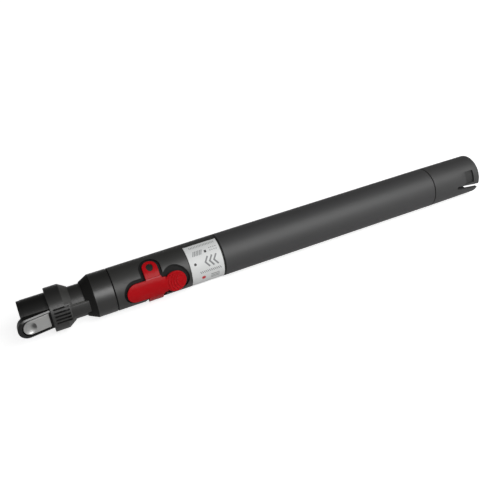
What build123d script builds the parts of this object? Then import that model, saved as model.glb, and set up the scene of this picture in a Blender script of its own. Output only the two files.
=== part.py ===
from build123d import *
import os
from math import asin, cos, radians, sin, sqrt, tan

# Telescopic vacuum extension wand, pushed together, lying on its side.
# The axis of the wand is X. The origin is the centre of the socket mouth, +X runs towards the
# tool end, +Y is the side of the catch lever and the release button, and +Z is up.
# All sizes are in millimetres and all angles in degrees, counted from +Y towards +Z.

# Barrel: outer tube, socket collar, catch housing and nose cap
tube_od = 44.0
tube_wall = 2.6
end_draft = 0.4
collar_length = 62.3
tube_length = 259.7
housing_length = 111.0
nose_length = 19.3
nose_cone_length = 9.2
nose_wall = 1.4
nose_lip_wall = 0.5
lap_length = 12.0
lap_wall = 1.2
glue_gap = 0.1
seam_chamfer = 0.25
seam_gap = 0.9

# Socket in the collar
socket_wall = 2.6
socket_depth = 45.0
socket_stop_length = 4.0
socket_stop_height = 1.4
mouth_round = 1.2
key_slot_angle = -14.5
key_slot_length = 31.6
key_slot_end_r = 2.0
key_slot_rise = 2.1
key_slot_mouth_width = 5.0
key_slot_mouth_drop = 2.0
key_slot_flare = 2.6
ramp_start = 8.1
ramp_length = 17.3
ramp_depth = 1.9
ramp_first_angle = -3.0
ramp_last_angle = 35.5

# Catch housing: walls left between its bore and the cuts for the lever, and the label's place
housing_wall = 3.3
recess_floor_wall = 1.0
scoop_floor_wall = 0.9
stop_inset = 5.6
stop_gap = 0.3
housing_spigot_length = 4.0
label_land = 2.0
label_margin = 0.5
label_margin_angle = 1.0
label_half_angle = 81.5
label_depth = 0.6
label_thickness = 0.35

# Catch lever: a rocker with a round thumb pad, two pivot tabs and a locking tooth
pivot_to_housing_end = 37.5
pivot_angle = 52.7
tab_width = 14.8
tab_float = 1.3
tab_thickness = 2.0
tab_root = 1.9
tab_edge = 0.35
crease_width = 1.3
crease_tilt = 36.0
body_width = 19.6
body_front = 28.0
body_back = 8.2
body_float = 2.7
body_thickness = 1.6
body_round = 0.7
neck_width = 16.4
neck_lap = 2.0
pad_offset = 20.6
pad_r = 11.0
pad_float = 2.4
pad_thickness = 1.4
pad_round = 0.6
pad_rib_count = 4
pad_rib_pitch = 2.7
pad_rib_width = 1.9
pad_rib_height = 0.55
pad_rib_first_r = 9.8
pad_rib_margin = 1.2
pad_rib_root = 0.3
tooth_offset = 20.0
tooth_length = 4.4
tooth_width = 8.0
tooth_chamfer = 0.6
tooth_clearance = 0.3
tooth_window_gap = 2.0
body_moat = 2.4
tab_moat = 3.4
scoop_margin = 4.0
pin_r = 3.35
pin_fit = 0.1
pin_press = 0.02
pin_stand_off = 0.2
pin_flush = 0.6
lever_leaf_length = 15.0
lever_leaf_width = 6.0
lever_leaf_thickness = 0.4
leaf_clearance = 0.15

# Inner tube with its locking rail and rear guide
inner_wall = 1.4
neck_length = 11.6
rail_height = 2.2
rail_gap = 0.5
rail_width = 12.6
rail_round = 1.6
rail_notch_pitch = 28.0
rail_notch_count = 10
rail_notch_depth = 1.5
notch_end_gap = 1.0
notch_side_gap = 0.7
seat_gap = 0.03
slide_fit = 0.1
seal_length = 3.8
rear_bush_length = 16.0
bush_groove_length = 6.0
bush_groove_depth = 0.8
end_ring_flange = 3.0
end_ring_gap = 0.5
end_ring_sleeve = 6.0
end_ring_wall = 0.9

# Front guide and wiper in the nose cap
nose_bore_gap = 0.5
wiper_length = 3.0
wiper_step = 0.8
front_bush_length = 12.3

# Tool cuff
cuff_cone_length = 7.5
cuff_length = 13.4
cuff_lip_wall = 0.67
cuff_seat_length = 13.9
cuff_edge = 0.5
grip_start = 2.5
grip_end_gap = 0.8
grip_rise = 0.3
grip_first_angle = -16.0
grip_last_angle = 31.0
groove_count = 5
groove_first_angle = -11.0
groove_pitch_angle = 9.2
groove_lead = 1.1
groove_tail = 1.9
groove_width = 1.7
groove_depth = 3.4

# Nozzle with the button cradle
nozzle_od = 35.0
nozzle_wall = 2.5
nozzle_length = 25.9
nozzle_step = 0.3
nozzle_step_length = 3.6
cradle_wall = 1.8
cradle_end_wall = 4.0
cradle_bevel = 1.5
cradle_bevel_height = 0.75
cradle_root = 0.3
nib_relief = 0.6
pocket_wall = 1.1
button_gap = 0.9
button_set_back = 1.8
button_width = 14.1
button_length = 24.8
button_thickness = 1.8
button_lift = 0.3
button_tilt = 8.5
button_under_tilt = 4.0
button_sink = 0.2
button_edge = 0.4
dimple_from_end = 6.6
dimple_r = 6.0
dimple_depth = 1.4
button_pin_r = 0.55
button_pin_fit = 0.06
button_pin_inset = 2.0
button_pin_bite = 0.9
button_leaf_length = 12.0
button_leaf_width = 5.0
button_leaf_thickness = 0.3

# Radii of the barrel and of what slides in it, from the outside inwards
tube_r = tube_od / 2
end_r = tube_r - end_draft
bore_r = tube_r - tube_wall
spigot_r = bore_r + lap_wall
rebate_r = spigot_r + glue_gap
socket_bore_r = end_r - socket_wall
socket_stop_r = socket_bore_r - socket_stop_height
nose_seat_r = end_r - nose_wall
wiper_r = nose_seat_r - wiper_step
housing_bore_r = tube_r - housing_wall
label_r = tube_r - label_depth + glue_gap + label_thickness
rail_top_r = housing_bore_r - rail_gap
rail_notch_floor_r = rail_top_r - rail_notch_depth
key_top_r = rail_top_r + slide_fit
key_width = rail_width + 2 * slide_fit
inner_r = rail_top_r - rail_height
inner_bore_r = inner_r - inner_wall
carrier_r = inner_r + seat_gap
nose_lip_r = inner_r + nose_bore_gap + nose_lip_wall
cuff_lip_r = carrier_r + cuff_lip_wall
far = 2 * tube_r

# Radii and levels of the lever, from the floors of its recess outwards
recess_floor_r = housing_bore_r + recess_floor_wall
tab_under_r = recess_floor_r + tab_float
tab_top_r = tab_under_r + tab_thickness
body_under_r = recess_floor_r + body_float
body_top_r = body_under_r + body_thickness
scoop_floor_r = housing_bore_r + scoop_floor_wall
scoop_r = pad_r + scoop_margin
pad_under = scoop_floor_r + pad_float
pad_top = pad_under + pad_thickness
pivot_y = (tab_top_r + tab_under_r) / 2 * cos(radians(pivot_angle))
crease_z = body_width / 2 - body_round
crease_end_z = crease_z + crease_width
crease_top = sqrt(body_top_r**2 - crease_z**2)
crease_root = sqrt(((body_under_r + body_top_r) / 2) ** 2 - crease_z**2)
crease_end_root = sqrt(((tab_under_r + tab_top_r) / 2) ** 2 - crease_end_z**2)
tab_reach = tab_top_r * sin(radians(pivot_angle) - asin(body_width / 2 / tab_top_r)) + tab_root

# Levels of the nozzle and its button, from the airway outwards
nozzle_r = nozzle_od / 2
nozzle_bore_r = nozzle_r - nozzle_wall
pocket_floor = nozzle_bore_r + pocket_wall
pocket_half_width = button_width / 2 + button_gap
button_under = pocket_floor + button_lift
button_top = button_under + button_thickness
cradle_top = button_top + button_sink
cradle_half_width = pocket_half_width + cradle_wall
cradle_base = sqrt(nozzle_r**2 - cradle_half_width**2) - cradle_root

# Stations along the axis
tube_start = collar_length
tube_end = tube_start + tube_length
housing_end = tube_end + housing_length
nose_shoulder = housing_end + nose_length
nose_tip = nose_shoulder + nose_cone_length
cuff_start = nose_tip + neck_length
cuff_shoulder = cuff_start + cuff_cone_length
cuff_face = cuff_shoulder + cuff_length
nozzle_end = cuff_face + nozzle_length
inner_front = cuff_start + cuff_seat_length
pivot_x = housing_end - pivot_to_housing_end
pad_x = pivot_x - pad_offset
tooth_x = pivot_x + tooth_offset
label_start = tube_end + label_margin
label_end = pad_x - scoop_r - label_land
stop_x = label_end - stop_inset
stroke = rail_notch_pitch * (rail_notch_count - 1)
rear_bush_end = stop_x - stop_gap - stroke
rear_bush_start = rear_bush_end - rear_bush_length
seal_start = rear_bush_start - glue_gap - seal_length
inner_tail = seal_start - glue_gap
bush_start = housing_end + housing_spigot_length + glue_gap
wiper_start = bush_start + front_bush_length + glue_gap
wiper_end = wiper_start + wiper_length + glue_gap
rail_start = rear_bush_end + glue_gap
rail_end = cuff_start + grip_start - glue_gap
neck_end = pad_x + pad_r - neck_lap
grip_end = cuff_face - grip_end_gap
groove_start = cuff_start + grip_start + groove_lead
groove_length = grip_end - groove_tail - groove_start
button_start = cuff_face + button_set_back
button_end = button_start + button_length
button_pin_x = button_start + button_pin_inset
cradle_start = cuff_face + glue_gap
cradle_tip = button_end + button_gap + cradle_end_wall
dimple_x = button_end - dimple_from_end


def half_section(*points):
    """Closed half-section, as (station, radius) points, to be turned about the axis."""
    with BuildSketch(Plane.XY) as section:
        with BuildLine():
            Polyline(*points, close=True)
        make_face()
    return section.sketch


def ring_section(start, end, inner, outer):
    """Half-section of a plain ring between two stations and two radii."""
    return half_section((start, inner), (end, inner), (end, outer), (start, outer))


def sector_section(angle, *points):
    """Closed half-section in the plane through the axis at an angle from +Y."""
    turned = Plane(origin=(0, 0, 0), x_dir=(1, 0, 0), z_dir=(0, -sin(radians(angle)), cos(radians(angle))))
    with BuildSketch(turned) as section:
        with BuildLine():
            Polyline(*points, close=True)
        make_face()
    return section.sketch


def rounded_corner(station, level, size, steps=3):
    """Points round an outer corner of that size, from the face at the station to the level."""
    turns = [radians(90 * step / steps) for step in range(steps + 1)]
    return [(station + size * (1 - cos(turn)), level - size * (1 - sin(turn))) for turn in turns]


def facing_plane(station, angle, height=0.0):
    """Plane that faces outwards from the axis at a station and an angle from +Y."""
    out = Vector(0, cos(radians(angle)), sin(radians(angle)))
    return Plane(origin=Vector(station, 0, 0) + out * height, x_dir=(1, 0, 0), z_dir=out)


def sloped(level, tilt, station):
    """Level of a face that starts at the button's root and rises towards the tip at a tilt."""
    return level + (station - button_start) * tan(radians(tilt))


def side_section(start, end, low, low_tilt, high, high_tilt):
    """Wedge seen along Z between two stations, with a sloped floor and a sloped top."""
    return half_section(
        (start, sloped(low, low_tilt, start)),
        (end, sloped(low, low_tilt, end)),
        (end, sloped(high, high_tilt, end)),
        (start, sloped(high, high_tilt, start)),
    )


def lever_plan(grow):
    """Plan of the lever's body and neck seen along Y, widened all round by a margin."""
    half = body_width / 2 + grow
    round_x = pivot_x + body_front - body_width / 2
    back_x = pivot_x - body_back - grow
    with BuildSketch(facing_plane(0, 0)) as plan:
        with Locations(((back_x + round_x) / 2, 0)):
            Rectangle(round_x - back_x, 2 * half)
        with Locations((round_x, 0)):
            Circle(half)
        with Locations(((neck_end + pivot_x) / 2, 0)):
            Rectangle(pivot_x - neck_end, neck_width + 2 * grow)
    return plan.sketch


def tab_plan(side, grow):
    """Plan of one pivot tab seen along its own radius, widened all round by a margin."""
    with BuildSketch(facing_plane(pivot_x, side * pivot_angle)) as plan:
        Circle(tab_width / 2 + grow)
        with Locations((0, side * tab_reach / 2)):
            Rectangle(tab_width + 2 * grow, tab_reach)
    return plan.sketch


def key_slot_plan():
    """Plan of the key slot: slanted, round at its inner end and flared at the mouth."""
    end_x = key_slot_length - key_slot_end_r
    high = key_slot_mouth_drop - key_slot_mouth_width / 2
    low = key_slot_mouth_drop + key_slot_mouth_width / 2
    mid_flare = key_slot_flare * (1 - sqrt(0.5))
    with BuildSketch(facing_plane(0, key_slot_angle)) as plan:
        with BuildLine():
            Line((end_x, -key_slot_rise - key_slot_end_r), (key_slot_flare, high))
            ThreePointArc((key_slot_flare, high), (mid_flare, high - mid_flare), (0, high - key_slot_flare))
            Polyline(
                (0, high - key_slot_flare),
                (-mouth_round, high - key_slot_flare),
                (-mouth_round, low + key_slot_flare),
                (0, low + key_slot_flare),
            )
            ThreePointArc((0, low + key_slot_flare), (mid_flare, low + mid_flare), (key_slot_flare, low))
            Line((key_slot_flare, low), (end_x, key_slot_end_r - key_slot_rise))
            ThreePointArc(
                (end_x, key_slot_end_r - key_slot_rise),
                (key_slot_length, -key_slot_rise),
                (end_x, -key_slot_rise - key_slot_end_r),
            )
        make_face()
    return plan.sketch


def cradle_plan(height, half_width, start, end):
    """Plan of the button cradle at a height: straight at the cuff and round at the free end."""
    with BuildSketch(facing_plane(0, 0, height)) as plan:
        with Locations(((start + end - half_width) / 2, 0)):
            Rectangle(end - half_width - start, 2 * half_width)
        with Locations((end - half_width, 0)):
            Circle(half_width)
    return plan.sketch


def leaf_section(start, length, floor, crown, thickness):
    """Bowed strip seen along Z, its ends on the floor and its crown touching what it lifts."""
    middle = start + length / 2
    with BuildSketch(Plane.XY) as section:
        with BuildLine():
            ThreePointArc((start, floor), (middle, crown - thickness), (start + length, floor))
            Line((start + length, floor), (start + length, floor + thickness))
            ThreePointArc((start + length, floor + thickness), (middle, crown), (start, floor + thickness))
            Line((start, floor + thickness), (start, floor))
        make_face()
    return section.sketch


button_pin_top = sloped(button_top, button_tilt, button_pin_x)
button_pin_y = (button_pin_top + sloped(button_under, button_under_tilt, button_pin_x)) / 2

# Rail keyway: the slot that lets the locking rail through the guides, over the whole travel
with BuildPart() as rail_keyway:
    with BuildSketch(Plane.YZ.offset(tube_start)) as keyway_section:
        Circle(key_top_r)
        with Locations((far / 2, 0)):
            Rectangle(far, key_width, mode=Mode.INTERSECT)
    extrude(amount=inner_front - tube_start)

# Outer tube, rebated at both ends for the glued laps and short of its neighbours by a shadow gap
with BuildPart() as outer_tube:
    revolve(
        half_section(
            (tube_start + seam_gap, tube_r - seam_chamfer),
            (tube_start + seam_gap + seam_chamfer, tube_r),
            (tube_end - seam_gap - seam_chamfer, tube_r),
            (tube_end - seam_gap, tube_r - seam_chamfer),
            (tube_end - seam_gap, rebate_r),
            (tube_end - lap_length, rebate_r),
            (tube_end - lap_length, bore_r),
            (tube_start + lap_length, bore_r),
            (tube_start + lap_length, rebate_r),
            (tube_start + seam_gap, rebate_r),
        ),
        axis=Axis.X,
    )

# Socket collar: drafted sleeve with a stop inside, a key slot open at the mouth and a ramped catch pocket
with BuildPart() as socket_collar:
    revolve(
        half_section(
            *rounded_corner(0, end_r, mouth_round),
            (tube_start - seam_chamfer, tube_r),
            (tube_start, tube_r - seam_chamfer),
            (tube_start, spigot_r),
            (tube_start + lap_length - glue_gap, spigot_r),
            (tube_start + lap_length - glue_gap, bore_r),
            (socket_depth + socket_stop_length, bore_r),
            (socket_depth + socket_stop_length, socket_stop_r),
            (socket_depth, socket_stop_r),
            (socket_depth, socket_bore_r),
            (0, socket_bore_r),
        ),
        axis=Axis.X,
    )
    extrude(key_slot_plan(), amount=far, mode=Mode.SUBTRACT)
    revolve(
        sector_section(
            ramp_first_angle,
            (ramp_start, end_r - ramp_depth),
            (ramp_start + ramp_length, tube_r),
            (ramp_start, far),
        ),
        axis=Axis.X,
        revolution_arc=ramp_last_angle - ramp_first_angle,
        mode=Mode.SUBTRACT,
    )

# Recess round the lever and the thumb scoop round its pad
with BuildPart() as lever_recess:
    extrude(lever_plan(body_moat), amount=far)
    for side in (1, -1):
        extrude(tab_plan(side, tab_moat), amount=far)
    revolve(
        ring_section(tube_end, housing_end, recess_floor_r, far),
        axis=Axis.X,
        mode=Mode.INTERSECT,
    )
with BuildPart() as thumb_scoop:
    with BuildSketch(facing_plane(pad_x, 0)):
        Circle(scoop_r)
    extrude(amount=far)
    revolve(
        ring_section(tube_end, housing_end, scoop_floor_r, far),
        axis=Axis.X,
        mode=Mode.INTERSECT,
    )

# Catch housing: carries the lever, stops the inner tube's rear bush and takes the label
with BuildPart() as catch_housing:
    revolve(
        half_section(
            (tube_end, tube_r - seam_chamfer),
            (tube_end + seam_chamfer, tube_r),
            (housing_end - seam_chamfer, end_r),
            (housing_end, end_r - seam_chamfer),
            (housing_end, nose_seat_r - glue_gap),
            (housing_end + housing_spigot_length, nose_seat_r - glue_gap),
            (housing_end + housing_spigot_length, housing_bore_r),
            (stop_x, housing_bore_r),
            (stop_x, bore_r),
            (tube_end - lap_length + glue_gap, bore_r),
            (tube_end - lap_length + glue_gap, spigot_r),
            (tube_end, spigot_r),
        ),
        axis=Axis.X,
    )
    revolve(
        sector_section(
            -label_half_angle,
            (label_start, tube_r - label_depth),
            (label_end, tube_r - label_depth),
            (label_end, far),
            (label_start, far),
        ),
        axis=Axis.X,
        revolution_arc=2 * label_half_angle,
        mode=Mode.SUBTRACT,
    )
    add(lever_recess.part, mode=Mode.SUBTRACT)
    add(thumb_scoop.part, mode=Mode.SUBTRACT)
    with BuildSketch(facing_plane(tooth_x, 0)) as tooth_window:
        Rectangle(tooth_length + 2 * tooth_window_gap, tooth_width + 2 * tooth_window_gap)
    extrude(amount=far, mode=Mode.SUBTRACT)
    with BuildSketch(Plane.XY.offset(-far)) as pin_holes:
        with Locations((pivot_x, pivot_y)):
            Circle(pin_r + pin_press)
    extrude(amount=2 * far, mode=Mode.SUBTRACT)

# Label glued into its shallow recess
with BuildPart() as label:
    revolve(
        sector_section(
            label_margin_angle - label_half_angle,
            (label_start + label_margin, label_r - label_thickness),
            (label_end - label_margin, label_r - label_thickness),
            (label_end - label_margin, label_r),
            (label_start + label_margin, label_r),
        ),
        axis=Axis.X,
        revolution_arc=2 * (label_half_angle - label_margin_angle),
    )

# Lever body, curved with the barrel, and its two pivot tabs
with BuildPart() as lever_body:
    extrude(lever_plan(0), amount=far)
    revolve(
        ring_section(tube_end, housing_end, body_under_r, body_top_r),
        axis=Axis.X,
        mode=Mode.INTERSECT,
    )
    crown = lever_body.faces().filter_by(GeomType.CYLINDER).sort_by(SortBy.AREA)[-1]
    chamfer(crown.edges(), body_round)
with BuildPart() as lever_tabs:
    for side in (1, -1):
        extrude(tab_plan(side, 0), amount=far)
    revolve(
        ring_section(tube_end, housing_end, tab_under_r, tab_top_r),
        axis=Axis.X,
        mode=Mode.INTERSECT,
    )
    tab_tops = lever_tabs.faces().filter_by(GeomType.CYLINDER).group_by(SortBy.RADIUS)[-1]
    chamfer(tab_tops.edges(), tab_edge)

# Sloped creases where the tabs leave the body
with BuildPart() as lever_creases:
    with BuildSketch(Plane.YZ.offset(pivot_x - tab_width / 2)):
        for side in (1, -1):
            with BuildLine():
                Polyline(
                    (crease_top, side * crease_z),
                    (crease_top - crease_width * tan(radians(crease_tilt)), side * crease_end_z),
                    (crease_end_root, side * crease_end_z),
                    (crease_root, side * crease_z),
                    close=True,
                )
            make_face()
    extrude(amount=tab_width)

# Ribs across the thumb pad, on circles about its far edge
with BuildPart() as pad_ribs:
    rib_centre = pad_x - pad_r
    for rib in range(pad_rib_count):
        rib_x = rib_centre + pad_rib_first_r + rib * pad_rib_pitch
        revolve(
            half_section(
                (rib_x - pad_rib_width / 2, pad_top - pad_rib_root),
                (rib_x - pad_rib_width / 2, pad_top),
                (rib_x, pad_top + pad_rib_height),
                (rib_x + pad_rib_width / 2, pad_top),
                (rib_x + pad_rib_width / 2, pad_top - pad_rib_root),
            ),
            axis=Axis((rib_centre, 0, 0), (0, 1, 0)),
        )
    with BuildSketch(facing_plane(pad_x, 0, pad_top - pad_rib_root)):
        Circle(pad_r - pad_rib_margin)
    extrude(amount=pad_rib_root + pad_rib_height, mode=Mode.INTERSECT)

# Catch lever
with BuildPart() as catch_lever:
    pad_rim = [(pad_x - pad_r + x, pad_top + y) for x, y in rounded_corner(0, 0, pad_round)]
    revolve(
        half_section((pad_x, pad_under), (pad_x - pad_r, pad_under), *pad_rim, (pad_x, pad_top)),
        axis=Axis((pad_x, 0, 0), (0, 1, 0)),
    )
    add(pad_ribs.part)
    add(lever_body.part)
    add(lever_tabs.part)
    add(lever_creases.part)
    with BuildSketch(facing_plane(tooth_x, 0, rail_top_r + tooth_clearance)) as tooth:
        Rectangle(tooth_length, tooth_width)
    extrude(amount=(body_under_r + body_top_r) / 2 - rail_top_r - tooth_clearance)
    tooth_tip = catch_lever.faces().filter_by(Axis.Y).sort_by(Axis.Y)[0]
    chamfer(tooth_tip.edges().filter_by(Axis.Z), tooth_chamfer)
    with BuildSketch(Plane.XY.offset(-far)) as lever_holes:
        with Locations((pivot_x, pivot_y)):
            Circle(pin_r + pin_fit)
    extrude(amount=2 * far, mode=Mode.SUBTRACT)

# Pivot pins, pressed into the housing from both sides, with ends that follow the barrel
with BuildPart() as pivot_pins:
    with BuildSketch(Plane.XY):
        with Locations((pivot_x, pivot_y)):
            Circle(pin_r)
    extrude(amount=far, both=True)
    revolve(
        ring_section(tube_end, housing_end, housing_bore_r + pin_stand_off, tab_top_r - pin_flush),
        axis=Axis.X,
        mode=Mode.INTERSECT,
    )

# Leaf spring under the thumb pad
with BuildPart() as lever_spring:
    extrude(
        leaf_section(
            pad_x - lever_leaf_length / 2,
            lever_leaf_length,
            scoop_floor_r + leaf_clearance,
            pad_under - leaf_clearance,
            lever_leaf_thickness,
        ),
        amount=lever_leaf_width / 2,
        both=True,
    )

# Nose cap: cone-fronted ring that clamps the front bush and the wiper against the housing
with BuildPart() as nose_cap:
    revolve(
        half_section(
            (housing_end + seam_gap, end_r - seam_chamfer),
            (housing_end + seam_gap + seam_chamfer, end_r),
            (nose_shoulder, end_r),
            (nose_tip, nose_lip_r),
            (nose_tip, inner_r + nose_bore_gap),
            (wiper_end, inner_r + nose_bore_gap),
            (wiper_end, wiper_r + glue_gap),
            (wiper_start, wiper_r + glue_gap),
            (wiper_start, nose_seat_r),
            (housing_end + seam_gap, nose_seat_r),
        ),
        axis=Axis.X,
    )
    with BuildSketch(Plane.YZ.offset(nose_tip)) as rail_mouth:
        Circle(rail_top_r + nose_bore_gap)
        with Locations((far / 2, 0)):
            Rectangle(far, rail_width + 2 * nose_bore_gap, mode=Mode.INTERSECT)
    extrude(amount=wiper_end - nose_tip, mode=Mode.SUBTRACT)

# Front bush, keyed for the rail
with BuildPart() as front_bush:
    revolve(
        ring_section(bush_start, bush_start + front_bush_length, inner_r + slide_fit, nose_seat_r - glue_gap),
        axis=Axis.X,
    )
    add(rail_keyway.part, mode=Mode.SUBTRACT)

# Wiper seal in front of the bush
with BuildPart() as wiper_seal:
    revolve(
        ring_section(wiper_start + glue_gap, wiper_end - glue_gap, inner_r + slide_fit, wiper_r),
        axis=Axis.X,
    )
    add(rail_keyway.part, mode=Mode.SUBTRACT)

# Inner tube
with BuildPart() as inner_tube:
    revolve(ring_section(inner_tail, inner_front, inner_bore_r, inner_r), axis=Axis.X)

# Rear guide of the inner tube: end ring, felt seal and bush
with BuildPart() as end_ring:
    revolve(
        half_section(
            (inner_tail - end_ring_flange, inner_bore_r - end_ring_wall),
            (inner_tail + end_ring_sleeve, inner_bore_r - end_ring_wall),
            (inner_tail + end_ring_sleeve, inner_bore_r - seat_gap),
            (inner_tail, inner_bore_r - seat_gap),
            (inner_tail, bore_r - end_ring_gap),
            (inner_tail - end_ring_flange, bore_r - end_ring_gap),
        ),
        axis=Axis.X,
    )
with BuildPart() as slide_seal:
    revolve(
        ring_section(seal_start, seal_start + seal_length, carrier_r, bore_r - slide_fit),
        axis=Axis.X,
    )
with BuildPart() as rear_bush:
    groove_start_x = rear_bush_start + (rear_bush_length - bush_groove_length) / 2
    revolve(
        half_section(
            (rear_bush_start, carrier_r),
            (rear_bush_end, carrier_r),
            (rear_bush_end, bore_r - slide_fit),
            (groove_start_x + bush_groove_length, bore_r - slide_fit),
            (groove_start_x + bush_groove_length, bore_r - slide_fit - bush_groove_depth),
            (groove_start_x, bore_r - slide_fit - bush_groove_depth),
            (groove_start_x, bore_r - slide_fit),
            (rear_bush_start, bore_r - slide_fit),
        ),
        axis=Axis.X,
    )

# Locking rail on the inner tube, with a row of notches for the lever's tooth
with BuildPart() as lock_rail:
    with BuildSketch(Plane.YZ.offset(rail_start)) as rail_section:
        Circle(rail_top_r)
        with Locations((far / 2, 0)):
            Rectangle(far, rail_width, mode=Mode.INTERSECT)
        Circle(carrier_r, mode=Mode.SUBTRACT)
        fillet(rail_section.vertices().group_by(Axis.X)[-1], rail_round)
    extrude(amount=rail_end - rail_start)
    with BuildSketch(facing_plane(tooth_x, 0, rail_notch_floor_r)) as rail_notches:
        for notch in range(rail_notch_count):
            with Locations((-notch * rail_notch_pitch, 0)):
                Rectangle(tooth_length + 2 * notch_end_gap, tooth_width + 2 * notch_side_gap)
    extrude(amount=far, mode=Mode.SUBTRACT)

# Tool cuff with its grooved grip
with BuildPart() as tool_cuff:
    revolve(
        half_section(
            (cuff_start, cuff_lip_r),
            (cuff_shoulder, end_r),
            (cuff_face - cuff_edge, end_r),
            (cuff_face, end_r - cuff_edge),
            (cuff_face, nozzle_r + seat_gap),
            (inner_front, nozzle_r + seat_gap),
            (inner_front, carrier_r),
            (cuff_start, carrier_r),
        ),
        axis=Axis.X,
    )
    revolve(
        sector_section(
            grip_first_angle,
            (cuff_start + grip_start, cuff_lip_r),
            (grip_end, end_r - cuff_edge),
            (grip_end, end_r + grip_rise),
            (cuff_start + grip_start, end_r + grip_rise),
        ),
        axis=Axis.X,
        revolution_arc=grip_last_angle - grip_first_angle,
    )
    for groove in range(groove_count):
        groove_plane = facing_plane(
            groove_start + groove_length / 2,
            groove_first_angle + groove * groove_pitch_angle,
            end_r + grip_rise - groove_depth,
        )
        with BuildSketch(groove_plane) as grip_groove:
            SlotOverall(groove_length, groove_width)
        extrude(amount=far, mode=Mode.SUBTRACT)
    with BuildSketch(Plane.YZ.offset(cuff_start)) as cuff_key:
        Circle(key_top_r)
        with Locations((far / 2, 0)):
            Rectangle(far, key_width, mode=Mode.INTERSECT)
    extrude(amount=grip_start, mode=Mode.SUBTRACT)

# Cradle that guards the release button: a wedge that rises towards the tip, with a bevelled rim
with BuildPart() as button_cradle:
    extrude(cradle_plan(cradle_base, cradle_half_width, cradle_start, cradle_tip), amount=far)
    extrude(
        side_section(cradle_start, cradle_tip, cradle_base, 0, cradle_top, button_tilt),
        amount=far,
        both=True,
        mode=Mode.INTERSECT,
    )
    rim = button_cradle.faces().sort_by(Axis.Y)[-1]
    chamfer(rim.edges().sort_by(Axis.X)[1:], cradle_bevel, cradle_bevel_height, reference=rim)

# Nozzle
with BuildPart() as nozzle:
    revolve(
        half_section(
            (inner_front + glue_gap, nozzle_bore_r),
            (nozzle_end, nozzle_bore_r),
            (nozzle_end, nozzle_r - nozzle_step),
            (nozzle_end - nozzle_step_length, nozzle_r - nozzle_step),
            (nozzle_end - nozzle_step_length, nozzle_r),
            (inner_front + glue_gap, nozzle_r),
        ),
        axis=Axis.X,
    )
    add(button_cradle.part)
    extrude(
        cradle_plan(pocket_floor, pocket_half_width, button_start - button_gap, button_end + button_gap),
        amount=far,
        mode=Mode.SUBTRACT,
    )
    for station, airway_r in ((cuff_face, nozzle_bore_r), (nozzle_end, nozzle_bore_r + nib_relief)):
        with BuildSketch(Plane.YZ.offset(station)) as airway:
            Circle(airway_r)
        extrude(amount=far, mode=Mode.SUBTRACT)
    with BuildSketch(Plane.XY.offset(-far)) as pin_bore:
        with Locations((button_pin_x, button_pin_y)):
            Circle(button_pin_r + pin_press)
    extrude(amount=2 * far, mode=Mode.SUBTRACT)

# Release button: a wedge hinged at its thin straight end, with a finger dimple at its round end
with BuildPart() as release_button:
    extrude(cradle_plan(button_under, button_width / 2, button_start, button_end), amount=far)
    extrude(
        side_section(button_start, button_end, button_under, button_under_tilt, button_top, button_tilt),
        amount=far,
        both=True,
        mode=Mode.INTERSECT,
    )
    chamfer(release_button.faces().sort_by(Axis.Y)[-1].edges(), button_edge)
    dimple_sphere_r = (dimple_r**2 + dimple_depth**2) / (2 * dimple_depth)
    dimple_rise = dimple_sphere_r - dimple_depth
    dimple_y = sloped(button_top, button_tilt, dimple_x) + dimple_rise * cos(radians(button_tilt))
    with Locations((dimple_x - dimple_rise * sin(radians(button_tilt)), dimple_y, 0)):
        Sphere(dimple_sphere_r, mode=Mode.SUBTRACT)
    with BuildSketch(Plane.XY.offset(-far)):
        with Locations((button_pin_x, button_pin_y)):
            Circle(button_pin_r + button_pin_fit)
    extrude(amount=2 * far, mode=Mode.SUBTRACT)

# Hinge pin of the button, held in the cradle's walls
with BuildPart() as button_pin:
    with BuildSketch(Plane.XY):
        with Locations((button_pin_x, button_pin_y)):
            Circle(button_pin_r)
    extrude(amount=pocket_half_width + button_pin_bite, both=True)

# Leaf spring under the button
with BuildPart() as button_spring:
    extrude(
        leaf_section(
            dimple_x - button_leaf_length / 2,
            button_leaf_length,
            pocket_floor + leaf_clearance,
            sloped(button_under, button_under_tilt, dimple_x) - leaf_clearance,
            button_leaf_thickness,
        ),
        amount=button_leaf_width / 2,
        both=True,
    )

pieces = {
    "outer_tube": outer_tube,
    "socket_collar": socket_collar,
    "catch_housing": catch_housing,
    "label": label,
    "catch_lever": catch_lever,
    "pivot_pins": pivot_pins,
    "lever_spring": lever_spring,
    "nose_cap": nose_cap,
    "front_bush": front_bush,
    "wiper_seal": wiper_seal,
    "inner_tube": inner_tube,
    "end_ring": end_ring,
    "slide_seal": slide_seal,
    "rear_bush": rear_bush,
    "lock_rail": lock_rail,
    "tool_cuff": tool_cuff,
    "nozzle": nozzle,
    "release_button": release_button,
    "button_pin": button_pin,
    "button_spring": button_spring,
}
os.makedirs("parts", exist_ok=True)
for name, piece in pieces.items():
    piece.part.label = name
    export_step(piece.part, f"parts/{name}.step")
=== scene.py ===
"""Looks of a telescopic vacuum wand that lies pushed together on a pale studio floor.

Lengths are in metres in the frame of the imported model, and in millimetres where a name ends in _mm or _MM.
X runs along the wand from the socket mouth to the tool end, +Y is the side of the catch lever and Z is up.
"""
import logging
from dataclasses import dataclass, field
from enum import Enum
from math import radians
from typing import Any, ClassVar

import bpy
from mathutils import Matrix, Vector


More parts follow.
